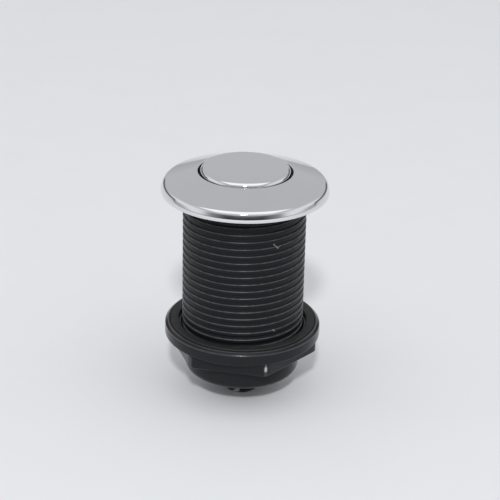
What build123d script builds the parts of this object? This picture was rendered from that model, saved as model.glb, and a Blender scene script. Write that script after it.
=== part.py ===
"""Air switch button: a chrome push button in a deck trim, over a threaded barrel with an air bellows inside.

Millimetres. +Z is up along the barrel's axis. The origin is on the axis, in the plane of the deck surface
that the trim flange seats on.
"""

import os
from math import cos, radians, sin, tan

from build123d import *

# Trim flange: a conical top that rounds over into a low rim
flange_overhang = 5.825
rim_height = 0.7
edge_radius = 2.6
cone_angle = 19.0
hole_edge_chamfer = 0.3

# Collar under the flange, which guides the plunger and stops it from coming out
collar_wall = 1.05
collar_length = 7.0

# Deck gasket, in a groove of the flange's underside
inner_land = 0.5
outer_land = 1.825
gasket_thickness = 1.5
gasket_clearance = 0.1

# Push button
button_clearance = 0.5
button_proud = 1.0
button_edge_radius = 1.5
cap_wall = 0.9
cap_top_thickness = 1.0
cap_skirt_height = 5.0

# Plunger
plunger_clearance = 0.3
plunger_wall = 1.6
plunger_head_thickness = 3.4
lip_overhang = 0.7
lip_thickness = 1.6
stem_dia = 8.0
stem_reach = 6.0

# Barrel and its thread
thread_dia = 32.8
thread_pitch = 2.0
thread_depth = 0.45
crest_width = 0.85
flank_width = 0.2
shank_length = 2.9
barrel_length = 45.5
barrel_wall = 2.35
barrel_end_chamfer = 0.5

# Web across the barrel, which guides the stem and seats the spring
web_depth = 14.0
web_thickness = 2.0
stem_clearance = 0.4

# Return spring
spring_side_gap = 2.05
spring_wire_dia = 1.1
spring_turns = 4.5

# Base cap and tube socket
base_cap_inset = 0.9
base_cap_height = 6.1
base_cap_edge_radius = 2.0
base_floor_thickness = 3.1
plug_length = 3.0
plug_wall = 1.8
socket_dia = 9.0
socket_length = 6.6
socket_edge_chamfer = 0.6
tube_bore_dia = 6.2
tube_bore_depth = 8.5
air_passage_dia = 2.4
socket_mouth_chamfer = 0.4

# Bellows
bellows_clearance = 0.3
bellows_wall = 1.2
bellows_folds = 4
fold_inset = 0.65
fold_depth = 2.8
bellows_foot_thickness = 1.5
bellows_top_thickness = 2.0

# Mounting nut and its slip washer
nut_end_distance = 8.1
nut_flange_overhang = 3.05
nut_flange_height = 3.7
nut_bevel = 0.75
nut_wall = 1.6
hex_height = 3.9
hex_corner_rise = 2.6
hex_turn = 18.5
nut_thread_clearance = 0.3
nut_bore_chamfer = 0.5
washer_bore_gap = 0.9
nut_lip = 1.45
washer_thickness = 1.1
washer_proud = 0.3
washer_clearance = 0.1

# Gap between pieces that are pushed one into the other and stay together
push_gap = 0.05

# Radii that follow from the sizes above
crest_r = thread_dia / 2
flange_r = crest_r + flange_overhang
root_r = crest_r - thread_depth
barrel_bore_r = root_r - barrel_wall
collar_r = barrel_bore_r - push_gap
hole_r = collar_r - collar_wall
groove_inner_r = crest_r + inner_land
groove_outer_r = flange_r - outer_land
button_r = hole_r - button_clearance
cap_inner_r = button_r - cap_wall
plunger_r = hole_r - plunger_clearance
plunger_pocket_r = plunger_r - plunger_wall
lip_r = hole_r + lip_overhang
spring_r = plunger_pocket_r - spring_side_gap - spring_wire_dia / 2
stem_r = stem_dia / 2
base_cap_r = crest_r - base_cap_inset
plug_r = barrel_bore_r - push_gap
plug_bore_r = plug_r - plug_wall
bellows_foot_r = plug_bore_r - bellows_clearance
bellows_crest_r = bellows_foot_r - fold_inset
bellows_root_r = bellows_crest_r - fold_depth
socket_r = socket_dia / 2
tube_bore_r = tube_bore_dia / 2
passage_r = air_passage_dia / 2
nut_bore_r = crest_r + nut_thread_clearance
hex_r = crest_r + nut_wall
hex_corner_r = hex_r + hex_corner_rise
nut_flange_r = hex_r + nut_flange_overhang
washer_inner_r = crest_r + washer_bore_gap
washer_outer_r = nut_flange_r - nut_lip

# Levels along the axis
cone_slope = radians(cone_angle)
edge_end_r = flange_r - edge_radius * (1 - sin(cone_slope))
edge_end_z = rim_height + edge_radius * cos(cone_slope)
crest_z = edge_end_z + (edge_end_r - hole_r) * tan(cone_slope)
button_top_z = crest_z + button_proud
cap_inner_z = button_top_z - cap_top_thickness
cap_skirt_z = button_top_z - cap_skirt_height
pocket_z = cap_inner_z - plunger_head_thickness
lip_bottom_z = -collar_length - lip_thickness
web_top_z = -web_depth
web_bottom_z = web_top_z - web_thickness
base_top_z = -barrel_length
base_bottom_z = base_top_z - base_cap_height
base_floor_z = base_bottom_z + base_floor_thickness
socket_end_z = base_bottom_z - socket_length
bellows_top_z = web_bottom_z - stem_reach
nut_top_z = base_top_z + nut_end_distance
nut_shelf_z = nut_top_z - washer_thickness + washer_proud
hex_top_z = nut_top_z - nut_flange_height
hex_bottom_z = hex_top_z - hex_height

os.makedirs("parts", exist_ok=True)


# Trim flange
with BuildPart() as trim_flange:
    with BuildSketch(Plane.XZ):
        with BuildLine():
            rim = Line((flange_r, 0), (flange_r, rim_height))
            edge = TangentArc(rim @ 1, (edge_end_r, edge_end_z), tangent=(0, 1))
            cone = Line(edge @ 1, (hole_r, crest_z))
            bore = Line(cone @ 1, (hole_r, -collar_length))
            Polyline(
                bore @ 1,
                (collar_r, -collar_length),
                (collar_r, 0),
                (groove_inner_r, 0),
                (groove_inner_r, gasket_thickness),
                (groove_outer_r, gasket_thickness),
                (groove_outer_r, 0),
                rim @ 0,
            )
        make_face()
    revolve(axis=Axis.Z)
    hole_edge = trim_flange.edges().filter_by(GeomType.CIRCLE).sort_by(Axis.Z)[-1]
    chamfer(hole_edge, length=hole_edge_chamfer)
trim_flange.part.label = "trim_flange"
export_step(trim_flange.part, "parts/trim_flange.step")


# Deck gasket
with BuildPart() as deck_gasket:
    with BuildSketch(Plane.XY):
        Circle(groove_outer_r - gasket_clearance)
        Circle(groove_inner_r + gasket_clearance, mode=Mode.SUBTRACT)
    extrude(amount=gasket_thickness)
deck_gasket.part.label = "deck_gasket"
export_step(deck_gasket.part, "parts/deck_gasket.step")


# Button cap
with BuildPart() as button_cap:
    with BuildSketch(Plane.XY.offset(cap_skirt_z)):
        Circle(button_r)
    extrude(amount=cap_skirt_height)
    fillet(button_cap.edges().sort_by(Axis.Z)[-1], radius=button_edge_radius)
    with BuildSketch(Plane.XY.offset(cap_skirt_z)):
        Circle(cap_inner_r)
    extrude(amount=cap_skirt_height - cap_top_thickness, mode=Mode.SUBTRACT)
button_cap.part.label = "button_cap"
export_step(button_cap.part, "parts/button_cap.step")


# Plunger: a guided cup with a catch lip, and a stem that reaches down to the bellows
with BuildPart() as plunger:
    with BuildSketch(Plane.XZ):
        with BuildLine():
            Polyline(
                (0, cap_inner_z),
                (cap_inner_r - push_gap, cap_inner_z),
                (cap_inner_r - push_gap, cap_skirt_z),
                (plunger_r, cap_skirt_z),
                (plunger_r, -collar_length),
                (lip_r, -collar_length),
                (lip_r, lip_bottom_z),
                (plunger_pocket_r, lip_bottom_z),
                (plunger_pocket_r, pocket_z),
                (stem_r, pocket_z),
                (stem_r, bellows_top_z),
                (0, bellows_top_z),
                close=True,
            )
        make_face()
    revolve(axis=Axis.Z)
plunger.part.label = "plunger"
export_step(plunger.part, "parts/plunger.step")


# Threaded barrel: ridges at the thread's pitch below a plain shank, with a web across the bore
ridge_count = int((barrel_length - shank_length) / thread_pitch)
groove_width = thread_pitch - crest_width
ridge_points = []
for ridge in range(ridge_count):
    groove_top_z = -shank_length - ridge * thread_pitch
    groove_bottom_z = groove_top_z - groove_width
    ridge_points.append((crest_r, groove_top_z))
    ridge_points.append((root_r, groove_top_z - flank_width))
    ridge_points.append((root_r, groove_bottom_z + flank_width))
    ridge_points.append((crest_r, groove_bottom_z))

with BuildPart() as threaded_barrel:
    with BuildSketch(Plane.XZ):
        with BuildLine():
            Polyline(
                (barrel_bore_r, 0),
                (crest_r, 0),
                *ridge_points,
                (crest_r, -barrel_length + barrel_end_chamfer),
                (crest_r - barrel_end_chamfer, -barrel_length),
                (barrel_bore_r, -barrel_length),
                (barrel_bore_r, web_bottom_z),
                (stem_r + stem_clearance, web_bottom_z),
                (stem_r + stem_clearance, web_top_z),
                (barrel_bore_r, web_top_z),
                close=True,
            )
        make_face()
    revolve(axis=Axis.Z)
threaded_barrel.part.label = "threaded_barrel"
export_step(threaded_barrel.part, "parts/threaded_barrel.step")


# Return spring, between the web and the roof of the plunger's pocket
spring_height = pocket_z - web_top_z - spring_wire_dia
with BuildPart() as return_spring:
    with BuildLine(Plane.XY.offset(web_top_z + spring_wire_dia / 2)):
        coil = Helix(spring_height / spring_turns, spring_height, spring_r)
    with BuildSketch(Plane(coil @ 0, z_dir=coil % 0)):
        RegularPolygon(spring_wire_dia / 2, 6)
    sweep(path=coil, is_frenet=True)
return_spring.part.label = "return_spring"
export_step(return_spring.part, "parts/return_spring.step")


# Bellows: folded wall on a flat foot, closed at the top where the stem pushes
folds_bottom_z = base_floor_z + bellows_foot_thickness
folds_top_z = bellows_top_z - bellows_top_thickness
fold_height = (folds_top_z - folds_bottom_z) / bellows_folds
fold_points = [(bellows_root_r, folds_bottom_z)]
for fold in range(bellows_folds):
    fold_z = folds_bottom_z + fold * fold_height
    fold_points.append((bellows_crest_r, fold_z + fold_height / 2))
    fold_points.append((bellows_root_r, fold_z + fold_height))
inner_points = [(r - bellows_wall, z) for r, z in reversed(fold_points)]

with BuildPart() as bellows:
    with BuildSketch(Plane.XZ):
        with BuildLine():
            Polyline(
                (0, bellows_top_z),
                (0, folds_top_z),
                *inner_points,
                (bellows_root_r - bellows_wall, base_floor_z),
                (bellows_foot_r, base_floor_z),
                (bellows_foot_r, folds_bottom_z),
                *fold_points,
                (bellows_root_r, bellows_top_z),
                close=True,
            )
        make_face()
    revolve(axis=Axis.Z)
bellows.part.label = "bellows"
export_step(bellows.part, "parts/bellows.step")


# Base cap with the tube socket, plugged into the barrel's lower end
with BuildPart() as base_cap:
    with BuildSketch(Plane.XY.offset(base_bottom_z)):
        Circle(base_cap_r)
    extrude(amount=base_cap_height)
    fillet(base_cap.edges().sort_by(Axis.Z)[0], radius=base_cap_edge_radius)
    with BuildSketch(Plane.XY.offset(base_top_z)):
        Circle(plug_r)
    extrude(amount=plug_length)
    with BuildSketch(Plane.XY.offset(base_floor_z)):
        Circle(plug_bore_r)
    extrude(amount=base_cap_height - base_floor_thickness + plug_length, mode=Mode.SUBTRACT)
    with BuildSketch(Plane.XY.offset(socket_end_z)):
        Circle(socket_r)
    extrude(amount=socket_length)
    chamfer(base_cap.edges().sort_by(Axis.Z)[0], length=socket_edge_chamfer)
    with Locations((0, 0, socket_end_z)):
        Cylinder(
            tube_bore_r,
            tube_bore_depth,
            align=(Align.CENTER, Align.CENTER, Align.MIN),
            mode=Mode.SUBTRACT,
        )
        Cylinder(
            passage_r,
            socket_length + base_floor_thickness,
            align=(Align.CENTER, Align.CENTER, Align.MIN),
            mode=Mode.SUBTRACT,
        )
    chamfer(base_cap.edges().filter_by(GeomType.CIRCLE).group_by(Axis.Z)[0].sort_by(SortBy.RADIUS)[0],
            length=socket_mouth_chamfer)
base_cap.part.label = "base_cap"
export_step(base_cap.part, "parts/base_cap.step")


# Slip washer, in the recess of the nut's top
with BuildPart() as nut_washer:
    with BuildSketch(Plane.XY.offset(nut_shelf_z)):
        Circle(washer_outer_r)
        Circle(washer_inner_r, mode=Mode.SUBTRACT)
    extrude(amount=washer_thickness)
nut_washer.part.label = "nut_washer"
export_step(nut_washer.part, "parts/nut_washer.step")


# Mounting nut: round flange above a hexagon with rounded-off corners
with BuildPart() as mounting_nut:
    with BuildSketch(Plane.XY.offset(hex_top_z)):
        Circle(nut_flange_r)
    extrude(amount=nut_flange_height)
    chamfer(mounting_nut.edges().sort_by(Axis.Z)[-1], length=nut_bevel)
    with BuildSketch(Plane.XY.offset(hex_bottom_z)):
        RegularPolygon(hex_r, 6, major_radius=False, rotation=hex_turn - 90)
        Circle(hex_corner_r, mode=Mode.INTERSECT)
    extrude(amount=hex_height)
    with BuildSketch(Plane.XY.offset(nut_shelf_z)):
        Circle(washer_outer_r + washer_clearance)
    extrude(amount=washer_thickness, mode=Mode.SUBTRACT)
    with BuildSketch(Plane.XY.offset(hex_bottom_z)):
        Circle(nut_bore_r)
    extrude(amount=nut_flange_height + hex_height, mode=Mode.SUBTRACT)
    bore_mouth = mounting_nut.edges().filter_by(GeomType.CIRCLE).group_by(Axis.Z)[0].sort_by(SortBy.RADIUS)[0]
    chamfer(bore_mouth, length=nut_bore_chamfer)
mounting_nut.part.label = "mounting_nut"
export_step(mounting_nut.part, "parts/mounting_nut.step")
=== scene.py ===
"""Air switch button: the visible pieces, their finishes and a small studio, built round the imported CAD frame.

Metres, in the CAD frame: +Z is up along the barrel's axis, the origin lies in the plane of the deck surface,
and -Y is the side that the camera looks from.
"""

import math
from typing import NamedTuple

import bmesh
import bpy
from bpy.props import FloatProperty, FloatVectorProperty, IntProperty, PointerProperty
from mathutils import Matrix, Vector


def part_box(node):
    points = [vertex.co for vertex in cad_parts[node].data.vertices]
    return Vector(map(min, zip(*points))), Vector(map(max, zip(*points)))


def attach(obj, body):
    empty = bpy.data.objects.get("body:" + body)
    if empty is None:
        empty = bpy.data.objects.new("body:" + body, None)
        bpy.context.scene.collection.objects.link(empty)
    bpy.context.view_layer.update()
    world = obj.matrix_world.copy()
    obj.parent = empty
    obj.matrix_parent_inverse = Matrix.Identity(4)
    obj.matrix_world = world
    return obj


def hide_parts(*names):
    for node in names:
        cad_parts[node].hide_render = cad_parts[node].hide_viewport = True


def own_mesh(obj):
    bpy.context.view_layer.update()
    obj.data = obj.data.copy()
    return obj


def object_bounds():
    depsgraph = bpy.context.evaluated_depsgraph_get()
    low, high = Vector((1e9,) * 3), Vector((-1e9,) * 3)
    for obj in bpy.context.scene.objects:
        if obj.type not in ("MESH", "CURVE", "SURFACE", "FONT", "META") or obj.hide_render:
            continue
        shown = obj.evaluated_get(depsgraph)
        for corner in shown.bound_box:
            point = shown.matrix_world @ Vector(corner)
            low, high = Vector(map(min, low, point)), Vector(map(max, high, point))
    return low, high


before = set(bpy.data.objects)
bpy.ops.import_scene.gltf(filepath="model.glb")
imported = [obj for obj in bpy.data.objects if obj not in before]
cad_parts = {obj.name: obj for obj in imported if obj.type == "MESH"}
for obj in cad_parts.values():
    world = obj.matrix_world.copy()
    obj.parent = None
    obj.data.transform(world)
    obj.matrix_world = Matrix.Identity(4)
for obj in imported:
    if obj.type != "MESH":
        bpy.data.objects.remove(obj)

bl_info = {
    "name": "Air switch button",
    "version": (1, 0, 0),
    "blender": (4, 5, 0),
    "location": "View3D > Sidebar > Air switch",
    "description": "Builds a deck-mounted air switch button and a small studio round it",
    "category": "Add Mesh",
}

MM = 0.001
FULL_TURN = 2 * math.pi
MERGE_DISTANCE = 1e-7
SHARP_ANGLE = math.radians(38)
ROUNDING_SHARE = 0.48  # most of an edge that the rounding at one of its ends may take up

CAD_LOW, CAD_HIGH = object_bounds()
TRIM_LOW, TRIM_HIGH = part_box("trim_flange")
CAP_LOW, CAP_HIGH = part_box("button_cap")
GASKET_LOW, GASKET_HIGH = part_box("deck_gasket")
PLUNGER_LOW, PLUNGER_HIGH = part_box("plunger")
BARREL_LOW, BARREL_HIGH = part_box("threaded_barrel")
SPRING_LOW, SPRING_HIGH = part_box("return_spring")
BELLOWS_LOW, BELLOWS_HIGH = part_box("bellows")
BASE_LOW, BASE_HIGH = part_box("base_cap")
WASHER_LOW, WASHER_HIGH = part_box("nut_washer")
NUT_LOW, NUT_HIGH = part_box("mounting_nut")


def inner_radius(node):
    """Smallest distance from the axis to a CAD node's vertices."""
    return min(math.hypot(v.co.x, v.co.y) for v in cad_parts[node].data.vertices)


GASKET_RING = inner_radius("deck_gasket")
WASHER_RING = inner_radius("nut_washer")
SPRING_COIL = (inner_radius("return_spring") + SPRING_HIGH.x) / 2


class NickAndGlint(NamedTuple):
    """A light line on the plastic: a nicked spot on the thread, and a painted glint on the nut's corner and on
    the socket's rim. Its ends and width in millimetres, and how strongly it shows.
    """
    start: tuple
    end: tuple
    width: float
    strength: float = 1.0


THREAD_NICKS = (
    NickAndGlint((7.72, -13.98, -9.06), (8.72, -13.87, -10.10), width=0.32, strength=0.38),
    NickAndGlint((8.72, -13.87, -10.10), (9.50, -13.34, -9.60), width=0.24, strength=0.18),
    NickAndGlint((8.03, -14.24, -33.45), (8.47, -13.98, -34.05), width=0.27, strength=0.38),
)
# Painted glint on the socket's rim
SOCKET_GLINTS = (NickAndGlint((-1.65, -4.13, -57.85), (-0.80, -4.40, -57.35), width=0.8, strength=0.75),)
# Painted glint on one corner of the hexagon: start and end below the hexagon's upper edge, and width, in
# millimetres
CORNER_GLINTS = ((0.4, 1.5, 0.30), (1.4, 2.1, 0.65))


# Properties

def length(label, millimetres, description):
    """A length in metres whose default is given in millimetres."""
    return FloatProperty(name=label, description=description, default=millimetres * MM,
                         min=0, precision=5, subtype="DISTANCE", unit="LENGTH")


def angle(label, degrees, description):
    """An angle in radians whose default is given in degrees."""
    return FloatProperty(name=label, description=description, default=math.radians(degrees),
                         subtype="ANGLE", unit="ROTATION")


def factor(label, default, description):
    """A share from 0 to 1."""
    return FloatProperty(name=label, description=description, default=default, min=0, max=1, subtype="FACTOR")


def colour(label, default, description):
    """A linear colour."""
    return FloatVectorProperty(name=label, description=description, default=default, size=3,
                               min=0, max=1, subtype="COLOR")


class TrimSizes(bpy.types.PropertyGroup):
    """Sizes of the chrome trim, the button cap in it and the gasket under it"""
    shoulder_radius: length("Shoulder radius", 1.7, "Rounding between the trim's cone and its side")
    side_lean: angle("Side lean", 18, "How far the trim's side leans inwards")
    side_height: length("Side height", 0.9, "Upright part of the trim's side, below the lean")
    side_radius: length("Side radius", 5.0, "Rounding between the upright and the leaning part")
    cone_angle: angle("Cone angle", 19, "Slope of the trim's top")
    hole_radius: length("Hole radius", 12.5, "Hole that the button moves in")
    hole_edge: length("Hole edge", 0.35, "Rounding where the cone meets the hole")
    collar_radius: length("Collar radius", 13.55, "Outside of the collar that plugs into the barrel")
    groove_depth: length("Groove depth", 1.5, "Depth of the gasket's groove")
    groove_gap: length("Groove gap", 0.1, "Room between the gasket and its groove")
    cap_edge_radius: length("Button edge", 1.5, "Rounding of the button's upper edge")
    cap_crown: length("Button crown", 0.1, "How much the button's middle stands above its edge")
    cap_wall: length("Button wall", 0.9, "Thickness of the button's skirt")
    cap_top: length("Button top", 1.0, "Thickness of the button's top")


class BarrelSizes(bpy.types.PropertyGroup):
    """Sizes of the threaded barrel and what it holds"""
    pitch: length("Pitch", 2.0, "Rise of the thread in one turn")
    depth: length("Thread depth", 0.45, "Depth of the groove below the crest")
    crest_width: length("Crest width", 0.85, "Flat land on top of each ridge")
    flank_width: length("Flank width", 0.2, "Height of the slope between a land and a groove")
    ridge_rounding: length("Ridge rounding", 0.25, "Rounding of a ridge's edges")
    groove_rounding: length("Groove rounding", 0.08, "Rounding of the edges of a groove's floor")
    shank: length("Shank", 2.9, "Plain length below the trim")
    run_out: length("Run-out", 0.7, "Height over which the groove fades in")
    start: length("Thread start", 0.225, "Height by which the whole helix is raised")
    end_chamfer: length("End chamfer", 0.5, "Chamfer at the barrel's lower end")
    bore: length("Bore radius", 13.6, "Radius of the barrel's bore")
    web_depth: length("Web depth", 14.0, "Upper side of the web, below the deck surface")
    web_thickness: length("Web thickness", 2.0, "Thickness of the web")
    stem_hole: length("Stem hole", 4.4, "Radius of the hole in the web")
    wire: length("Spring wire", 1.1, "Diameter of the spring's wire")
    coils: FloatProperty(name="Coils", description="Turns of the spring, its closed ends included",
                         default=5.5, min=2)
    folds: IntProperty(name="Folds", description="Number of folds of the bellows", default=4, min=1)
    fold_depth: length("Fold depth", 2.8, "From a fold's crest to its root")
    fold_inset: length("Fold inset", 0.65, "From the edge of the bellows' foot to a crest")
    bellows_wall: length("Bellows wall", 1.2, "Thickness of the bellows")
    bellows_foot: length("Bellows foot", 1.5, "Thickness of the flat foot")
    bellows_top: length("Bellows top", 2.0, "Thickness of the closed top")


class PlungerSizes(bpy.types.PropertyGroup):
    """Sizes of the plunger that carries the button"""
    head_gap: length("Head gap", 0.05, "Room between the plunger's head and the button's skirt")
    guide_gap: length("Guide gap", 0.3, "Room between the plunger and the trim's hole")
    wall: length("Wall", 1.6, "Thickness of the guided cup")
    lip_height: length("Lip height", 1.6, "Height of the lip that catches under the trim's collar")
    head_height: length("Head height", 3.4, "Solid part above the spring's pocket")
    stem_radius: length("Stem radius", 4.0, "Radius of the stem that pushes on the bellows")


class BaseSizes(bpy.types.PropertyGroup):
    """Sizes of the base cap and its tube socket"""
    edge_radius: length("Edge radius", 2.0, "Rounding of the cap's lower edge")
    height: length("Height", 6.1, "Cap between the barrel and the socket")
    floor_thickness: length("Floor", 3.1, "Thickness of the cap's floor")
    plug_radius: length("Plug radius", 13.55, "Plug that goes up into the barrel")
    plug_wall: length("Plug wall", 1.8, "Thickness of the plug")
    socket_radius: length("Socket radius", 4.5, "Outside of the tube socket")
    socket_edge: length("Socket edge", 0.6, "Rounding at the socket's end")
    bore: length("Tube bore", 3.1, "Radius of the bore that takes the tube")
    bore_depth: length("Bore depth", 8.5, "Depth of the tube's bore")
    mouth: length("Mouth", 0.4, "Chamfer of the bore's mouth")
    passage: length("Air passage", 1.2, "Radius of the passage to the bellows")


class NutSizes(bpy.types.PropertyGroup):
    """Sizes of the mounting nut"""
    flange_height: length("Flange height", 3.7, "Round flange above the hexagon")
    bevel: length("Bevel", 0.75, "Bevel of the flange's upper edge")
    flat_radius: length("Flat distance", 18.0, "From the axis to a flat of the hexagon")
    corner_radius: length("Corner distance", 20.6, "From the axis to a rounded-off corner")
    flat_turn: angle("Hexagon turn", 18.5, "Direction that one flat faces, from +X")
    bore: length("Bore", 16.7, "Radius of the bore")
    mouth: length("Mouth", 0.5, "Chamfer of the bore's lower edge")
    recess_radius: length("Recess radius", 19.7, "Recess that holds the washer")
    thread_depth: length("Thread depth", 0.55, "How far the nut's ridge stands out of its bore")
    thread_land: length("Thread land", 1.25, "Bore between two turns of the ridge")
    thread_flank: length("Thread flank", 0.15, "Height of the slope of the ridge")
    thread_rounding: length("Thread rounding", 0.06, "Rounding of the ridge's edges")
    run_out: length("Run-out", 0.8, "Height over which the ridge fades out at the bore's ends")


class Finishes(bpy.types.PropertyGroup):
    """Colours and gloss of the materials"""
    chrome: colour("Chrome", (0.78, 0.79, 0.80), "Chrome plate of the trim and the button")
    chrome_roughness: factor("Chrome roughness", 0.045, "Blur of the chrome where it is clean")
    black: colour("Black plastic", (0.012, 0.0125, 0.0145), "Moulded plastic of barrel, base and nut")
    scuff: colour("Scuffed plastic", (0.022, 0.023, 0.026), "The same plastic where it has been handled")
    # Also paints highlights along the thread's crests, the nut's bevel edges and corners and the socket's rim
    worn: colour("Worn plastic", (0.058, 0.058, 0.060), "The same plastic where a nut has run over it")
    # Also the colour of the painted glints on the nut's corner and on the socket's rim
    burr: colour("Burred plastic", (0.52, 0.52, 0.53), "The same plastic where an edge is nicked")
    thread_roughness: factor("Thread roughness", 0.30, "Blur of the barrel's plastic")
    plastic_roughness: factor("Plastic roughness", 0.21, "Blur of the base's and the nut's plastic")
    rubber: colour("Rubber", (0.011, 0.0115, 0.0105), "Gasket, washer and bellows")
    dust: colour("Dust", (0.050, 0.049, 0.046), "Dust and bloom on the rubber")
    acetal: colour("Acetal", (0.80, 0.80, 0.76), "Natural plastic of the plunger")
    steel: colour("Steel", (0.58, 0.58, 0.57), "Wire of the return spring")
    floor: colour("Floor", (0.80, 0.81, 0.82), "Pale floor that the button stands on")


class StageSizes(bpy.types.PropertyGroup):
    """Camera and light"""
    camera_back: length("Camera back", 407.62, "From the axis to the lens, towards -Y")
    camera_height: length("Camera height", 166.9, "Lens above the deck plane")
    pitch: angle("Pitch", 24.295, "How far the camera looks down")
    yaw: angle("Yaw", 0.230, "How far the camera looks to the right")
    roll: angle("Roll", 1.349, "How far the camera is tilted")
    lens: FloatProperty(name="Lens", description="Focal length in millimetres", default=120.38,
                        subtype="DISTANCE_CAMERA")
    floor_size: length("Floor size", 6000, "Side of the square floor")
    flash_place: FloatVectorProperty(name="Flash place", description="Where the flash stands", size=3,
                                     default=(-0.03, -1.36, 1.16), subtype="TRANSLATION", unit="LENGTH")
    flash_width: length("Flash width", 140, "Diameter of the round flash")
    flash_power: FloatProperty(name="Flash power", description="Power of the flash in watts", default=14,
                               min=0, unit="POWER")


class AirSwitch(bpy.types.PropertyGroup):
    """Everything about the air switch button that a user would change"""
    trim: PointerProperty(name="Trim", description="Trim and button", type=TrimSizes)
    barrel: PointerProperty(name="Barrel", description="Barrel, spring and bellows", type=BarrelSizes)
    plunger: PointerProperty(name="Plunger", description="Plunger", type=PlungerSizes)
    base: PointerProperty(name="Base", description="Base cap", type=BaseSizes)
    nut: PointerProperty(name="Nut", description="Mounting nut", type=NutSizes)
    finishes: PointerProperty(name="Finishes", description="Materials", type=Finishes)
    stage: PointerProperty(name="Stage", description="Camera and light", type=StageSizes)


# Shader expressions

class Value:
    """An output of a node. Arithmetic on values adds Math nodes."""

    def __init__(self, nodes, output):
        self.nodes = nodes
        self.output = output

    def __add__(self, other):
        return self.nodes.math("ADD", self, other)

    def __sub__(self, other):
        return self.nodes.math("SUBTRACT", self, other)

    def __rsub__(self, other):
        return self.nodes.math("SUBTRACT", other, self)

    def __mul__(self, other):
        return self.nodes.math("MULTIPLY", self, other)

    def __truediv__(self, other):
        return self.nodes.math("DIVIDE", self, other)

    def __rtruediv__(self, other):
        return self.nodes.math("DIVIDE", other, self)

    __radd__ = __add__
    __rmul__ = __mul__


class Nodes:
    """The node tree of a material or the world."""

    def __init__(self, tree):
        self.tree = tree
        tree.nodes.clear()

    def add(self, kind, settings=None, inputs=None, output=0):
        """Adds a node, sets it up, fills its sockets with values or links, and returns one of its outputs."""
        node = self.tree.nodes.new(kind)
        for name, setting in (settings or {}).items():
            setattr(node, name, setting)
        for socket, value in (inputs or {}).items():
            if isinstance(value, Value):
                self.tree.links.new(value.output, node.inputs[socket])
            else:
                node.inputs[socket].default_value = value
        return Value(self, node.outputs[output]) if len(node.outputs) else None

    def math(self, operation, *values):
        """A Math node on values and numbers."""
        return self.add("ShaderNodeMath", {"operation": operation}, dict(enumerate(values)))

    def vector(self, operation, *values, output="Vector"):
        """A Vector Math node on places."""
        return self.add("ShaderNodeVectorMath", {"operation": operation}, dict(enumerate(values)), output)

    def scaled(self, place, size):
        """Coordinates times one number."""
        return self.add("ShaderNodeVectorMath", {"operation": "SCALE"}, {0: place, "Scale": size})

    def stretched(self, place, x, y, z):
        """Coordinates scaled by a factor for each axis."""
        return self.vector("MULTIPLY", place, (x, y, z))

    def split(self, place):
        """The three coordinates of a place."""
        return [self.add("ShaderNodeSeparateXYZ", {}, {0: place}, axis) for axis in "XYZ"]

    def millimetres(self):
        """Object coordinates, in millimetres."""
        return self.scaled(self.add("ShaderNodeTexCoord", output="Object"), 1 / MM)

    def noise(self, place, scale, detail, roughness=0.5):
        """Noise from 0 to 1."""
        return self.add("ShaderNodeTexNoise", {}, {"Vector": place, "Scale": scale, "Detail": detail,
                                                   "Roughness": roughness}, "Fac")

    def ramp(self, value, low, high, smooth=True):
        """0 up to low, 1 from high on."""
        return self.add("ShaderNodeMapRange", {"interpolation_type": "SMOOTHSTEP" if smooth else "LINEAR"},
                        {"Value": value, "From Min": low, "From Max": high})

    def band(self, value, rise, fall):
        """1 between two ramps, each given as its two ends."""
        return self.ramp(value, *rise) * (1 - self.ramp(value, *fall))

    def mix(self, share, first, second):
        """A colour between two colours."""
        first, second = (c if isinstance(c, Value) else (*c, 1) for c in (first, second))
        # The Mix node's colour sockets share their names with others, so they are given by number
        return self.add("ShaderNodeMix", {"data_type": "RGBA"}, {0: share, 6: first, 7: second}, 2)

    def from_axis(self, place):
        """Distance from the barrel's axis."""
        return self.vector("LENGTH", self.stretched(place, 1, 1, 0), output="Value")

    def from_line(self, place, start, end):
        """Distance from a straight line between two points."""
        way = Vector(end) - Vector(start)
        away = self.vector("SUBTRACT", place, start)
        share = self.vector("DOT_PRODUCT", away, way / way.length_squared, output="Value")
        nearest = self.scaled(way, self.ramp(share, 0, 1, smooth=False))
        return self.vector("LENGTH", self.vector("SUBTRACT", away, nearest), output="Value")

    def bump(self, height, distance, strength):
        """A normal that follows a height from 0 to 1, over a distance in metres."""
        return self.add("ShaderNodeBump", {}, {"Height": height, "Distance": distance, "Strength": strength},
                        "Normal")

    def surface(self, shader):
        """Puts a shader on the material's surface."""
        self.add("ShaderNodeOutputMaterial", {}, {"Surface": shader})

    def principled(self, **sockets):
        """A Principled surface: socket names are written with underscores."""
        named = {}
        for name, value in sockets.items():
            named[name.replace("_", " ").title().replace("Ior", "IOR")] = value
        self.surface(self.add("ShaderNodeBsdfPrincipled", {}, named))


def material_nodes(name):
    """A new material and its empty node tree."""
    material = bpy.data.materials.new(name)
    material.use_nodes = True
    return material, Nodes(material.node_tree)


def chrome_plate(name, finishes):
    """Polished chrome with faint smears and hairline scratches."""
    material, nodes = material_nodes(name)
    place = nodes.millimetres()
    smear = nodes.ramp(nodes.noise(place, scale=0.16, detail=4, roughness=0.6), 0.48, 0.78)
    drawn = nodes.stretched(place, 9.0, 0.35, 9.0)
    hairline = nodes.ramp(nodes.noise(drawn, scale=1.0, detail=2), 0.60, 0.72)
    smeared = [0.86 * channel for channel in finishes.chrome]
    ripple = nodes.noise(place, scale=0.30, detail=1)
    nodes.principled(
        base_color=nodes.mix(0.16 * smear, finishes.chrome, smeared),
        metallic=1.0,
        roughness=finishes.chrome_roughness + 0.03 * smear + 0.02 * hairline,
        normal=nodes.bump(ripple, distance=0.02 * MM, strength=0.35),
    )
    return material


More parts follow.
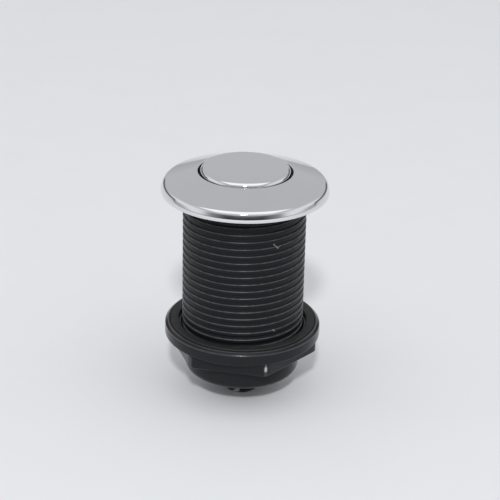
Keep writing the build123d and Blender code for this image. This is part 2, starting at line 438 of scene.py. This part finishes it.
def moulded_plastic(name, finishes, *, roughness, gloss, grain, coat_roughness, rub_and_sheen, nicks_and_glints):
    """Black moulded plastic with a fine grain; the rubbing function gives, at a place, the share lightened by
    rubbing and by painted highlight, and the polished share.
    """
    material, nodes = material_nodes(name)
    place = nodes.millimetres()
    cloud = nodes.noise(place, scale=0.22, detail=4)
    speck = nodes.noise(place, scale=5.5, detail=2)
    fleck = nodes.ramp(nodes.noise(place, scale=2.3, detail=2), 0.70, 0.78)
    wear_and_sheen, polish = rub_and_sheen(nodes, place)
    tone = nodes.mix(0.25 * fleck, finishes.black, finishes.scuff)
    # Lighter from rubbing, and painted highlight along edges
    tone = nodes.mix(wear_and_sheen, tone, finishes.worn)
    # Light marks where the plastic is nicked, and painted glints
    for nick_and_glint in nicks_and_glints:
        from_nick_and_glint = nodes.from_line(place, nick_and_glint.start, nick_and_glint.end)
        shown = nick_and_glint.strength * (1 - nodes.ramp(from_nick_and_glint, 0.1 * nick_and_glint.width, nick_and_glint.width))
        tone = nodes.mix(shown, tone, finishes.burr)
    nodes.principled(
        base_color=tone,
        specular_ior_level=gloss,
        coat_weight=polish,
        coat_roughness=coat_roughness,
        roughness=roughness + 0.06 * cloud + 0.05 * wear_and_sheen + 0.04 * speck - 0.05,
        normal=nodes.bump(grain * speck, distance=0.03 * MM, strength=0.25),
    )
    return material


def edge_wear_and_sheen(edges, corner_radius=None, corner_top=0):
    """Plastic that is lighter along ring edges, given as (radius, height), and on corners that stick out: from
    rubbing, and from painted highlight.
    """
    def rub_and_sheen(nodes, place):
        from_axis = nodes.from_axis(place)
        height = nodes.split(place)[2]
        patch = nodes.ramp(nodes.noise(place, scale=0.6, detail=4), 0.35, 0.70)

        def ring_wear_and_sheen(ring_r, ring_z):
            out, up = from_axis - ring_r / MM, height - ring_z / MM
            distance = nodes.math("SQRT", out * out + up * up)
            return 1 - nodes.ramp(distance, 0.08, 0.30)

        # Rubbing and painted highlight along the ring edges
        wear_and_sheen = sum(ring_wear_and_sheen(*edge) for edge in edges)
        if corner_radius:
            reach, top = corner_radius / MM, corner_top / MM
            corner_wear_and_sheen = nodes.ramp(from_axis, reach - 0.32, reach - 0.14)
            below_top = 1 - nodes.ramp(height, top - 1.2, top - 0.3)
            # Rubbing and painted highlight on the hexagon's corners
            wear_and_sheen = wear_and_sheen + 0.9 * corner_wear_and_sheen * below_top
        return wear_and_sheen * (0.10 + 0.28 * patch), wear_and_sheen
    return rub_and_sheen


def crest_wear_and_sheen(barrel):
    """Plastic that is lighter along the upper edge of the thread's ridges: from rubbing by the nut, and from
    painted highlight.
    """
    def rub_and_sheen(nodes, place):
        x, y, z = nodes.split(place)
        edge = barrel.start + barrel.crest_width / 2
        turns = nodes.math("ARCTAN2", y, x) / FULL_TURN
        phase = z * (MM / barrel.pitch) - turns + (0.5 - edge / barrel.pitch)
        from_edge = nodes.math("ABSOLUTE", nodes.math("FRACT", phase) - 0.5)
        patch = 0.55 + 0.45 * nodes.ramp(nodes.noise(place, scale=0.7, detail=4), 0.35, 0.65)
        floor_r, crest_r = (BARREL_HIGH.x - barrel.depth) / MM, BARREL_HIGH.x / MM
        on_ridge = nodes.ramp(nodes.from_axis(place), floor_r, crest_r)
        wear_and_sheen = patch * on_ridge * (1 - nodes.ramp(from_edge, 0.03, 0.10))
        return wear_and_sheen, wear_and_sheen
    return rub_and_sheen


def black_rubber(name, finishes):
    """Matt rubber with bloom and dust."""
    material, nodes = material_nodes(name)
    place = nodes.millimetres()
    bloom = nodes.ramp(nodes.noise(place, scale=0.35, detail=5, roughness=0.6), 0.42, 0.80)
    dust = nodes.ramp(nodes.noise(place, scale=7.0, detail=2), 0.66, 0.76)
    nodes.principled(
        base_color=nodes.mix(0.25 * bloom + 0.55 * dust, finishes.rubber, finishes.dust),
        roughness=0.62 + 0.22 * bloom,
        normal=nodes.bump(nodes.noise(place, scale=4.0, detail=3), distance=0.10 * MM, strength=0.35),
    )
    return material


def natural_acetal(name, finishes):
    """Off-white plastic with faint flow marks."""
    material, nodes = material_nodes(name)
    place = nodes.millimetres()
    flow = nodes.noise(nodes.stretched(place, 0.5, 0.5, 0.08), scale=1.0, detail=4)
    shade = [0.88 * channel for channel in finishes.acetal]
    nodes.principled(
        base_color=nodes.mix(nodes.ramp(flow, 0.35, 0.75), finishes.acetal, shade),
        roughness=0.34 + 0.14 * flow,
        normal=nodes.bump(nodes.noise(place, scale=3.0, detail=2), distance=0.04 * MM, strength=0.25),
    )
    return material


def drawn_steel(name, finishes):
    """Bright drawn wire with fine lines along it."""
    material, nodes = material_nodes(name)
    place = nodes.millimetres()
    line = nodes.noise(nodes.stretched(place, 0.4, 0.4, 6.0), scale=1.0, detail=3)
    stain = nodes.ramp(nodes.noise(place, scale=0.5, detail=4), 0.50, 0.80)
    stained = [0.62 * channel for channel in finishes.steel]
    nodes.principled(
        base_color=nodes.mix(0.35 * stain, finishes.steel, stained),
        metallic=1.0,
        roughness=0.20 + 0.16 * line + 0.14 * stain,
        normal=nodes.bump(line, distance=0.03 * MM, strength=0.30),
    )
    return material


# Mesh helpers

def rounded(corners, steps=4):
    """Profile points for corners given as (radius from axis, height, rounding)."""
    points = []
    count = len(corners)
    for index, (r, z, rounding) in enumerate(corners):
        corner = Vector((r, z))
        before = Vector(corners[index - 1][:2]) - corner
        after = Vector(corners[(index + 1) % count][:2]) - corner
        if rounding <= 0 or min(before.length, after.length) < MERGE_DISTANCE:
            points.append(corner)
            continue
        half = before.angle(after) / 2
        reach = min(rounding / math.tan(half), ROUNDING_SHARE * min(before.length, after.length))
        start = corner + before.normalized() * reach
        end = corner + after.normalized() * reach
        middle = (before.normalized() + after.normalized()).normalized() * (reach / math.cos(half))
        centre = corner + middle
        first_arm, last_arm = start - centre, end - centre
        for step in range(steps + 1):
            points.append(centre + first_arm.slerp(last_arm, step / steps) * first_arm.length)
    return points


def add_piece(name, mesh):
    """An object in the scene for a mesh, smooth between its sharp edges."""
    mesh.shade_smooth()
    mesh.set_sharp_from_angle(angle=SHARP_ANGLE)
    piece = bpy.data.objects.new(name, mesh)
    bpy.context.scene.collection.objects.link(piece)
    return piece


def mesh_piece(name, columns, closed=True):
    """A mesh object from profiles set round the axis: each column is (angle, points of (radius, height))."""
    bm = bmesh.new()
    rings = []
    for turn, points in columns:
        rings.append([bm.verts.new((p[0] * math.cos(turn), p[0] * math.sin(turn), p[1])) for p in points])
    for near, far in zip(rings, rings[1:]):
        last = len(near) if closed else len(near) - 1
        for k in range(last):
            m = (k + 1) % len(near)
            bm.faces.new((near[k], far[k], far[m], near[m]))
    bmesh.ops.remove_doubles(bm, verts=bm.verts, dist=MERGE_DISTANCE)
    bmesh.ops.dissolve_degenerate(bm, edges=bm.edges, dist=MERGE_DISTANCE)
    bmesh.ops.recalc_face_normals(bm, faces=bm.faces)
    mesh = bpy.data.meshes.new(name)
    bm.to_mesh(mesh)
    bm.free()
    return add_piece(name, mesh)


def lathe(name, points, segments=192, closed=True):
    """A mesh object from one profile turned about the axis."""
    return mesh_piece(name, [(FULL_TURN * j / segments, points) for j in range(segments + 1)], closed)


def wire_piece(name, points, radius):
    """A mesh object from a round wire with flat ends that follows a line of points."""
    path = bpy.data.curves.new(f"{name}_path", "CURVE")
    path.dimensions = "3D"
    path.bevel_depth = radius
    path.bevel_resolution = 4
    path.use_fill_caps = True
    spline = path.splines.new("NURBS")
    spline.points.add(len(points) - 1)
    for point, place in zip(spline.points, points):
        point.co = (*place, 1)
    spline.order_u = 3
    spline.use_endpoint_u = True
    spline.resolution_u = 2
    helper = bpy.data.objects.new(path.name, path)
    mesh = bpy.data.meshes.new_from_object(helper)
    bpy.data.objects.remove(helper)
    bpy.data.curves.remove(path)
    mesh.name = name
    mesh.materials.clear()
    return add_piece(name, mesh)


def thread_knots(pitch, land, flank, depth, land_rounding, floor_rounding):
    """(phase, depth) along one pitch of a thread, from the middle of a land up to the next one."""
    land_end = land / 2
    floor_start = land_end + flank
    profile = rounded([
        (0, 0, 0),
        (0, land_end, land_rounding),
        (depth, floor_start, floor_rounding),
        (depth, pitch - floor_start, floor_rounding),
        (0, pitch - land_end, land_rounding),
        (0, pitch, 0),
    ], steps=3)
    return [(z / pitch, depth) for depth, z in profile]


def groove_depth(phase, knots):
    """Depth of the groove at a phase of the pitch."""
    for (low, low_depth), (high, high_depth) in zip(knots, knots[1:]):
        if low <= phase <= high:
            return low_depth + (high_depth - low_depth) * (phase - low) / (high - low)
    return 0.0


def fit_piece(piece, material, body, node):
    """Gives a piece its material, its body and the CAD node it stands for."""
    piece.data.materials.append(material)
    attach(piece, body)
    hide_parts(node)


def shorten(piece):
    """Gives a piece its own copy of its mesh."""
    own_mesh(piece)


# Pieces

class AIRSWITCH_OT_trim(bpy.types.Operator):
    """Make the chrome trim: a shallow cone with a rounded shoulder, a collar below and the gasket's groove"""
    bl_idname = "airswitch.trim"
    bl_label = "Trim flange"

    def execute(self, context):
        button = context.scene.air_switch
        trim = button.trim
        edge_r, crest_z, collar_z = TRIM_HIGH.x, TRIM_HIGH.z, TRIM_LOW.z
        slope = math.tan(trim.cone_angle)
        rounding_drop = trim.hole_edge * (1 - math.cos(trim.cone_angle)) * slope
        cone_at_hole = crest_z + trim.hole_edge * slope - rounding_drop
        cone_at_edge = cone_at_hole - (edge_r - trim.hole_radius) * slope
        lean = math.tan(trim.side_lean)
        shoulder_z = (cone_at_edge - slope * lean * trim.side_height) / (1 - slope * lean)
        shoulder_r = edge_r - (shoulder_z - trim.side_height) * lean
        groove_in = GASKET_RING - trim.groove_gap
        groove_out = GASKET_HIGH.x + trim.groove_gap
        profile = rounded([
            (trim.hole_radius, collar_z, 0.25 * MM),
            (trim.collar_radius, collar_z, 0.35 * MM),
            (trim.collar_radius, 0, 0),
            (groove_in, 0, 0.1 * MM),
            (groove_in, trim.groove_depth, 0.1 * MM),
            (groove_out, trim.groove_depth, 0.1 * MM),
            (groove_out, 0, 0.1 * MM),
            (edge_r, 0, 0.25 * MM),
            (edge_r, trim.side_height, trim.side_radius),
            (shoulder_r, shoulder_z, trim.shoulder_radius),
            (trim.hole_radius, cone_at_hole, trim.hole_edge),
        ], steps=12)
        piece = lathe("chrome_trim", profile, segments=256)
        chrome = chrome_plate("Chrome trim", button.finishes)
        fit_piece(piece, chrome, "housing", "trim_flange")
        return {"FINISHED"}


class AIRSWITCH_OT_button(bpy.types.Operator):
    """Make the chrome push button: a crowned cap with a rounded edge"""
    bl_idname = "airswitch.button"
    bl_label = "Push button"

    def execute(self, context):
        button = context.scene.air_switch
        trim = button.trim
        outer_r, top_z, skirt_z = CAP_HIGH.x, CAP_HIGH.z, CAP_LOW.z
        inner_r = outer_r - trim.cap_wall
        rings = 6
        crown = []
        for ring in range(rings):
            share = ring / rings
            crown.append((share * (outer_r - trim.cap_edge_radius), top_z - trim.cap_crown * share ** 2, 0))
        edge_z = top_z - trim.cap_crown
        profile = rounded([
            *crown,
            (outer_r, edge_z, trim.cap_edge_radius),
            (outer_r, skirt_z, 0.15 * MM),
            (inner_r, skirt_z, 0.15 * MM),
            (inner_r, top_z - trim.cap_top, 0),
            (0, top_z - trim.cap_top, 0),
        ], steps=12)
        piece = lathe("chrome_button", profile, segments=256, closed=False)
        chrome = chrome_plate("Chrome button", button.finishes)
        fit_piece(piece, chrome, "button", "button_cap")
        return {"FINISHED"}


class AIRSWITCH_OT_seals(bpy.types.Operator):
    """Make the flat rubber rings: the gasket under the trim and the slip washer in the nut"""
    bl_idname = "airswitch.seals"
    bl_label = "Gasket and washer"

    def execute(self, context):
        button = context.scene.air_switch
        bead = 0.18 * MM
        rings = (
            ("deck_seal", GASKET_RING, GASKET_LOW, GASKET_HIGH, "housing", "deck_gasket", "gasket_rubber"),
            ("slip_washer", WASHER_RING, WASHER_LOW, WASHER_HIGH, "washer", "nut_washer", "washer_rubber"),
        )
        for name, inner_r, low, high, body, node, slot in rings:
            outer_r = high.x
            third = (outer_r - inner_r) / 3
            groove_in, groove_out = inner_r + third, outer_r - third
            profile = rounded([
                (inner_r, low.z, 0.2 * MM),
                (groove_in, low.z, 0.1 * MM),
                (groove_in + bead, low.z + bead, 0.1 * MM),
                (groove_out - bead, low.z + bead, 0.1 * MM),
                (groove_out, low.z, 0.1 * MM),
                (outer_r, low.z, 0.2 * MM),
                (outer_r, high.z, 0.25 * MM),
                (inner_r, high.z, 0.25 * MM),
            ])
            piece = lathe(name, profile)
            rubber = black_rubber(name.replace("_", " ").capitalize(), button.finishes)
            fit_piece(piece, rubber, body, node)
        return {"FINISHED"}


class AIRSWITCH_OT_barrel(bpy.types.Operator):
    """Make the barrel with its helical thread, and the web across its bore"""
    bl_idname = "airswitch.barrel"
    bl_label = "Threaded barrel"

    def execute(self, context):
        button = context.scene.air_switch
        barrel = button.barrel
        segments = 176
        crest_r, bottom_z = BARREL_HIGH.x, BARREL_LOW.z
        top_z = -barrel.shank
        knots = thread_knots(barrel.pitch, barrel.crest_width, barrel.flank_width, barrel.depth,
                             barrel.ridge_rounding, barrel.groove_rounding)

        def radius_at(turn, z):
            """Outside of the barrel, with the groove, its run-out and the end chamfer."""
            phase = (z - barrel.start) / barrel.pitch - turn / FULL_TURN
            depth = groove_depth(phase % 1.0, knots)
            fade = min(1.0, max(0.0, (top_z - z) / barrel.run_out))
            depth *= fade * fade * (3 - 2 * fade)
            chamfer_r = crest_r - barrel.end_chamfer + (z - bottom_z)
            return min(crest_r - depth, chamfer_r)

        web_top, web_bottom = -barrel.web_depth, -barrel.web_depth - barrel.web_thickness
        inside = rounded([
            (barrel.bore, bottom_z, 0.2 * MM),
            (barrel.bore, web_bottom, 0.3 * MM),
            (barrel.stem_hole, web_bottom, 0.2 * MM),
            (barrel.stem_hole, web_top, 0.2 * MM),
            (barrel.bore, web_top, 0.3 * MM),
            (barrel.bore, 0, 0.2 * MM),
            (crest_r, 0, 0.15 * MM),
            (crest_r, bottom_z, 0),
        ])[:-1]
        first = math.ceil((top_z - barrel.start) / barrel.pitch) + 1
        turns = int((top_z - bottom_z) / barrel.pitch) + 4
        columns = []
        for j in range(segments + 1):
            turn = FULL_TURN * j / segments
            points = list(inside)
            for n in range(first, first - turns, -1):
                for phase, _ in reversed(knots[:-1]):
                    z = barrel.start + (n + phase + turn / FULL_TURN) * barrel.pitch
                    z = min(top_z, max(bottom_z, z))
                    points.append((radius_at(turn, z), z))
            columns.append((turn, points))
        piece = mesh_piece("threaded_body", columns)
        finishes = button.finishes
        # Rubbing and painted highlight along the thread's crests, and light marks where the thread is nicked
        plastic = moulded_plastic(
            "Barrel plastic", finishes, roughness=finishes.thread_roughness, gloss=0.12, grain=0.55,
            coat_roughness=0.42, rub_and_sheen=crest_wear_and_sheen(barrel), nicks_and_glints=THREAD_NICKS)
        fit_piece(piece, plastic, "housing", "threaded_barrel")
        return {"FINISHED"}


class AIRSWITCH_OT_plunger(bpy.types.Operator):
    """Make the plunger: a guided cup with a catch lip and a stem"""
    bl_idname = "airswitch.plunger"
    bl_label = "Plunger"

    def execute(self, context):
        button = context.scene.air_switch
        trim, plunger = button.trim, button.plunger
        head_r = CAP_HIGH.x - trim.cap_wall - plunger.head_gap
        guide_r = trim.hole_radius - plunger.guide_gap
        pocket_r = guide_r - plunger.wall
        lip_r, top_z, collar_z = PLUNGER_HIGH.x, PLUNGER_HIGH.z, TRIM_LOW.z
        lip_bottom = collar_z - plunger.lip_height
        pocket_z = top_z - plunger.head_height
        profile = rounded([
            (0, top_z, 0),
            (head_r, top_z, 0.3 * MM),
            (head_r, CAP_LOW.z, 0.1 * MM),
            (guide_r, CAP_LOW.z, 0.2 * MM),
            (guide_r, collar_z, 0.2 * MM),
            (lip_r, collar_z, 0.2 * MM),
            (lip_r, lip_bottom, 0.5 * MM),
            (pocket_r, lip_bottom, 0.2 * MM),
            (pocket_r, pocket_z, 0.4 * MM),
            (plunger.stem_radius, pocket_z, 0.6 * MM),
            (plunger.stem_radius, PLUNGER_LOW.z, 0.5 * MM),
            (0, PLUNGER_LOW.z, 0),
        ])
        piece = lathe("plunger_cup", profile, segments=128, closed=False)
        acetal = natural_acetal("Plunger acetal", button.finishes)
        fit_piece(piece, acetal, "button", "plunger")
        return {"FINISHED"}


class AIRSWITCH_OT_spring(bpy.types.Operator):
    """Make the return spring: round wire with closed ends"""
    bl_idname = "airswitch.spring"
    bl_label = "Return spring"

    def execute(self, context):
        button = context.scene.air_switch
        barrel = button.barrel
        wire_r = barrel.wire / 2
        low, high = SPRING_LOW.z + wire_r, SPRING_HIGH.z - wire_r
        closed_turns, per_turn = 0.9, 40
        closed_rise = closed_turns * barrel.wire
        open_turns = barrel.coils - 2 * closed_turns
        open_rise = high - low - 2 * closed_rise
        points = []
        for step in range(int(barrel.coils * per_turn) + 1):
            turns = step / per_turn
            if turns < closed_turns:
                z = low + closed_rise * turns / closed_turns
            elif turns > barrel.coils - closed_turns:
                z = high - closed_rise * (barrel.coils - turns) / closed_turns
            else:
                z = low + closed_rise + open_rise * (turns - closed_turns) / open_turns
            around = FULL_TURN * turns
            points.append((SPRING_COIL * math.cos(around), SPRING_COIL * math.sin(around), z))
        piece = wire_piece("coil_spring", points, wire_r)
        steel = drawn_steel("Spring steel", button.finishes)
        fit_piece(piece, steel, "housing", "return_spring")
        shorten(piece)
        return {"FINISHED"}


class AIRSWITCH_OT_bellows(bpy.types.Operator):
    """Make the rubber bellows"""
    bl_idname = "airswitch.bellows"
    bl_label = "Bellows"

    def execute(self, context):
        button = context.scene.air_switch
        barrel = button.barrel
        wall = barrel.bellows_wall
        foot_r, low, high = BELLOWS_HIGH.x, BELLOWS_LOW.z, BELLOWS_HIGH.z
        crest_r = foot_r - barrel.fold_inset
        root_r = crest_r - barrel.fold_depth
        folds_low, folds_high = low + barrel.bellows_foot, high - barrel.bellows_top
        fold_height = (folds_high - folds_low) / barrel.folds
        bend = 0.6 * MM
        outside = [(root_r, folds_low, 0.3 * MM)]
        for fold in range(barrel.folds):
            fold_z = folds_low + fold * fold_height
            outside.append((crest_r, fold_z + fold_height / 2, bend))
            outside.append((root_r, fold_z + fold_height, bend))
        inside = [(r - wall, z, rounding) for r, z, rounding in reversed(outside)]
        profile = rounded([
            (0, folds_high, 0),
            *inside,
            (root_r - wall, low, 0.2 * MM),
            (foot_r, low, 0.2 * MM),
            (foot_r, folds_low, 0.4 * MM),
            *outside,
            (root_r, high, 0.5 * MM),
            (0, high, 0),
        ], steps=5)
        piece = lathe("air_bellows", profile, segments=128, closed=False)
        rubber = black_rubber("Bellows rubber", button.finishes)
        fit_piece(piece, rubber, "housing", "bellows")
        shorten(piece)
        return {"FINISHED"}


class AIRSWITCH_OT_base(bpy.types.Operator):
    """Make the base cap: a rounded cap that plugs into the barrel, with the tube socket under it"""
    bl_idname = "airswitch.base"
    bl_label = "Base cap"

    def execute(self, context):
        button = context.scene.air_switch
        base = button.base
        cap_r, plug_top, end_z = BASE_HIGH.x, BASE_HIGH.z, BASE_LOW.z
        cap_top = BARREL_LOW.z
        cap_bottom = cap_top - base.height
        floor_z = cap_bottom + base.floor_thickness
        plug_bore = base.plug_radius - base.plug_wall
        bore_end = end_z + base.bore_depth
        profile = rounded([
            (base.passage, floor_z, 0.15 * MM),
            (plug_bore, floor_z, 0.3 * MM),
            (plug_bore, plug_top, 0.3 * MM),
            (base.plug_radius, plug_top, 0.4 * MM),
            (base.plug_radius, cap_top, 0),
            (cap_r, cap_top, 0.25 * MM),
            (cap_r, cap_bottom, base.edge_radius),
            (base.socket_radius, cap_bottom, 0.5 * MM),
            (base.socket_radius, end_z, base.socket_edge),
            (base.bore + base.mouth, end_z, 0.1 * MM),
            (base.bore, end_z + base.mouth, 0.1 * MM),
            (base.bore, bore_end, 0.1 * MM),
            (base.passage, bore_end, 0.1 * MM),
        ], steps=8)
        piece = lathe("base_cover", profile)
        finishes = button.finishes
        # Rubbing and painted highlight along the socket's rim; a painted glint on the rim
        rub_and_sheen = edge_wear_and_sheen([(base.socket_radius, end_z + base.socket_edge)])
        plastic = moulded_plastic(
            "Base plastic", finishes, roughness=finishes.plastic_roughness, gloss=0.2, grain=0.25,
            coat_roughness=0.3, rub_and_sheen=rub_and_sheen, nicks_and_glints=SOCKET_GLINTS)
        fit_piece(piece, plastic, "housing", "base_cap")
        return {"FINISHED"}


class AIRSWITCH_OT_nut(bpy.types.Operator):
    """Make the mounting nut: a bevelled round flange over a hexagon with rounded-off corners, and a thread"""
    bl_idname = "airswitch.nut"
    bl_label = "Mounting nut"

    def execute(self, context):
        button = context.scene.air_switch
        nut, barrel = button.nut, button.barrel
        segments = 240
        flange_r, top_z, bottom_z = NUT_HIGH.x, NUT_HIGH.z, NUT_LOW.z
        hex_top = top_z - nut.flange_height
        shelf_z = WASHER_LOW.z
        corner_sharpness = 70
        sixth = FULL_TURN / 6

        def hexagon(turn):
            """From the axis to the hexagon's side."""
            off_flat = (turn - nut.flat_turn + sixth / 2) % sixth - sixth / 2
            flat = nut.flat_radius / math.cos(off_flat)
            blend = flat ** -corner_sharpness + nut.corner_radius ** -corner_sharpness
            return blend ** (-1 / corner_sharpness)

        knots = thread_knots(barrel.pitch, nut.thread_land, nut.thread_flank, nut.thread_depth,
                             nut.thread_rounding, nut.thread_rounding)
        edge = 0.15 * MM
        bore_low, bore_high = bottom_z + nut.mouth + edge, shelf_z - edge
        first = math.floor((bore_low - barrel.start) / barrel.pitch) - 1
        last = math.ceil((bore_high - barrel.start) / barrel.pitch) + 1

        def bore_thread(turn):
            """The bore from its lower to its upper end, with the ridge that runs in the barrel's groove."""
            points = []
            for n in range(first, last):
                for phase, depth in knots[:-1]:
                    z = barrel.start + (n + phase + turn / FULL_TURN) * barrel.pitch
                    z = min(bore_high, max(bore_low, z))
                    fade = min(1.0, (z - bore_low) / nut.run_out, (bore_high - z) / nut.run_out)
                    points.append((nut.bore - depth * fade, z))
            return points

        columns = []
        for j in range(segments + 1):
            turn = FULL_TURN * j / segments
            side = hexagon(turn)
            outside = rounded([
                (nut.bore, shelf_z, edge),
                (nut.recess_radius, shelf_z, edge),
                (nut.recess_radius, top_z, edge),
                (flange_r - nut.bevel, top_z, 0.25 * MM),
                (flange_r, top_z - nut.bevel, 0.35 * MM),
                (flange_r, hex_top, 0.35 * MM),
                (side, hex_top, 0.35 * MM),
                (side, bottom_z, 0.45 * MM),
                (nut.bore + nut.mouth, bottom_z, edge),
                (nut.bore, bottom_z + nut.mouth, edge),
            ], steps=5)
            columns.append((turn, outside + bore_thread(turn)))
        piece = mesh_piece("flanged_nut", columns)
        finishes = button.finishes
        # Painted glint on one corner of the hexagon
        corner_turn = nut.flat_turn - FULL_TURN / 4
        corner = Vector((math.cos(corner_turn), math.sin(corner_turn))) * (nut.corner_radius / MM)
        nicks_and_glints = []
        for start, end, width in CORNER_GLINTS:
            nicks_and_glints.append(NickAndGlint((corner.x, corner.y, hex_top / MM - start),
                              (corner.x, corner.y, hex_top / MM - end), width))
        # Rubbing and painted highlight along the bevel's edges and on the hexagon's corners
        bevel_edges = [(flange_r - nut.bevel, top_z), (flange_r, top_z - nut.bevel)]
        plastic = moulded_plastic(
            "Nut plastic", finishes, roughness=finishes.plastic_roughness, gloss=0.2, grain=0.12,
            coat_roughness=0.22, rub_and_sheen=edge_wear_and_sheen(bevel_edges, nut.corner_radius, hex_top), nicks_and_glints=nicks_and_glints)
        fit_piece(piece, plastic, "nut", "mounting_nut")
        return {"FINISHED"}


class AIRSWITCH_OT_stage(bpy.types.Operator):
    """Make the floor, the flash, the surroundings and the camera"""
    bl_idname = "airswitch.stage"
    bl_label = "Stage"

    def execute(self, context):
        scene = context.scene
        button = scene.air_switch
        stage = button.stage
        scene.view_settings.view_transform = "Standard"

        half = stage.floor_size / 2
        floor_z = CAD_LOW.z
        mesh = bpy.data.meshes.new("floor")
        square = ((-half, -half), (half, -half), (half, half), (-half, half))
        mesh.from_pydata([(x, y, floor_z) for x, y in square], [], [(0, 1, 2, 3)])
        floor = bpy.data.objects.new("floor", mesh)
        scene.collection.objects.link(floor)
        mesh.materials.append(self.floor_finish(button.finishes))

        self.flash(scene, stage)
        self.surroundings(scene)

        lens = bpy.data.cameras.new("camera")
        lens.sensor_width = 36
        lens.lens = stage.lens
        lens.clip_start = 0.01
        camera = bpy.data.objects.new("camera", lens)
        scene.collection.objects.link(camera)
        camera.matrix_world = (
            Matrix.Translation((0, -stage.camera_back, stage.camera_height))
            @ Matrix.Rotation(-stage.yaw, 4, "Z")
            @ Matrix.Rotation(math.pi / 2 - stage.pitch, 4, "X")
            @ Matrix.Rotation(stage.roll, 4, "Z")
        )
        scene.camera = camera
        return {"FINISHED"}

    def flash(self, scene, stage):
        """A round lamp that faces the barrel."""
        lamp = bpy.data.lights.new("flash", "AREA")
        lamp.shape = "DISK"
        lamp.size = stage.flash_width
        lamp.energy = stage.flash_power
        holder = bpy.data.objects.new("flash", lamp)
        scene.collection.objects.link(holder)
        target = Vector((0, 0, -20 * MM))
        holder.location = stage.flash_place
        holder.rotation_euler = (target - holder.location).to_track_quat("-Z", "Y").to_euler()

    def floor_finish(self, finishes):
        """Pale paper, clear from below."""
        material, nodes = material_nodes("Floor paper")
        place = nodes.millimetres()
        fibre = nodes.noise(place, scale=0.05, detail=4)
        shade = [0.97 * channel for channel in finishes.floor]
        tone = nodes.mix(fibre, finishes.floor, shade)
        paper = nodes.add("ShaderNodeBsdfPrincipled", {}, {"Base Color": tone, "Specular IOR Level": 0})
        clear = nodes.add("ShaderNodeBsdfTransparent")
        below = nodes.add("ShaderNodeNewGeometry", output="Backfacing")
        nodes.surface(nodes.add("ShaderNodeMixShader", {}, {0: below, 1: paper, 2: clear}))
        return material

    def surroundings(self, scene):
        """A pale room: bright roof and sides, a dark card in front, dark flags at the back corners."""
        world = bpy.data.worlds.new("Studio")
        scene.world = world
        world.use_nodes = True
        nodes = Nodes(world.node_tree)
        across, back, height = nodes.split(nodes.add("ShaderNodeTexCoord", output="Generated"))
        front = -1 * back
        aside = nodes.math("ABSOLUTE", across)
        card = nodes.ramp(front, 0.46, 0.64) * (1 - nodes.ramp(height, 0.20, 0.38))
        card_middle = card * (1 - nodes.ramp(aside, 0.35, 0.75))
        sides = nodes.ramp(aside, 0.66, 0.92) * nodes.band(height, (0.03, 0.12), (0.50, 0.70))
        flags = (nodes.ramp(back, 0.20, 0.35) * nodes.ramp(aside, 0.30, 0.40)
                 * (1 - nodes.ramp(height, 0.16, 0.30)))
        roof = (nodes.band(front / height, (-0.06, 0.04), (0.80, 1.10))
                * (1 - nodes.ramp(aside / height, 0.70, 1.00)) * nodes.ramp(height, 0.30, 0.50))
        room = nodes.mix(nodes.ramp(height, 0.0, 0.30), (0.42, 0.43, 0.45), (0.52, 0.53, 0.55))
        for share, tone in (
            (0.50 * card + 0.45 * card_middle, (0.03, 0.03, 0.033)),
            (sides, (0.80, 0.81, 0.83)),
            (flags, (0.14, 0.14, 0.15)),
            (roof, (1.10, 1.11, 1.13)),
        ):
            room = nodes.mix(share, room, tone)
        glow = nodes.add("ShaderNodeBackground", {}, {"Color": room, "Strength": 1.05})
        nodes.add("ShaderNodeOutputWorld", {}, {"Surface": glow})


class AIRSWITCH_PT_panel(bpy.types.Panel):
    """Lists the pieces and their sizes"""
    bl_idname = "AIRSWITCH_PT_panel"
    bl_label = "Air switch button"
    bl_space_type = "VIEW_3D"
    bl_region_type = "UI"
    bl_category = "Air switch"

    def draw(self, context):
        button = context.scene.air_switch
        for operator in OPERATORS:
            self.layout.operator(operator.bl_idname)
        for part in AirSwitch.__annotations__:
            group = getattr(button, part)
            box = self.layout.box()
            box.label(text=AirSwitch.bl_rna.properties[part].name)
            for name in group.__annotations__:
                box.prop(group, name)


GROUPS = (TrimSizes, BarrelSizes, PlungerSizes, BaseSizes, NutSizes, Finishes, StageSizes, AirSwitch)
OPERATORS = (
    AIRSWITCH_OT_trim,
    AIRSWITCH_OT_button,
    AIRSWITCH_OT_seals,
    AIRSWITCH_OT_barrel,
    AIRSWITCH_OT_plunger,
    AIRSWITCH_OT_spring,
    AIRSWITCH_OT_bellows,
    AIRSWITCH_OT_base,
    AIRSWITCH_OT_nut,
    AIRSWITCH_OT_stage,
)
CLASSES = (*GROUPS, *OPERATORS, AIRSWITCH_PT_panel)


def register():
    for cls in CLASSES:
        bpy.utils.register_class(cls)
    bpy.types.Scene.air_switch = PointerProperty(type=AirSwitch)


def unregister():
    del bpy.types.Scene.air_switch
    for cls in reversed(CLASSES):
        bpy.utils.unregister_class(cls)


def main():
    register()
    bpy.ops.airswitch.trim()
    bpy.ops.airswitch.button()
    bpy.ops.airswitch.seals()
    bpy.ops.airswitch.barrel()
    bpy.ops.airswitch.plunger()
    bpy.ops.airswitch.spring()
    bpy.ops.airswitch.bellows()
    bpy.ops.airswitch.base()
    bpy.ops.airswitch.nut()
    bpy.ops.airswitch.stage()


if __name__ == "__main__":
    main()
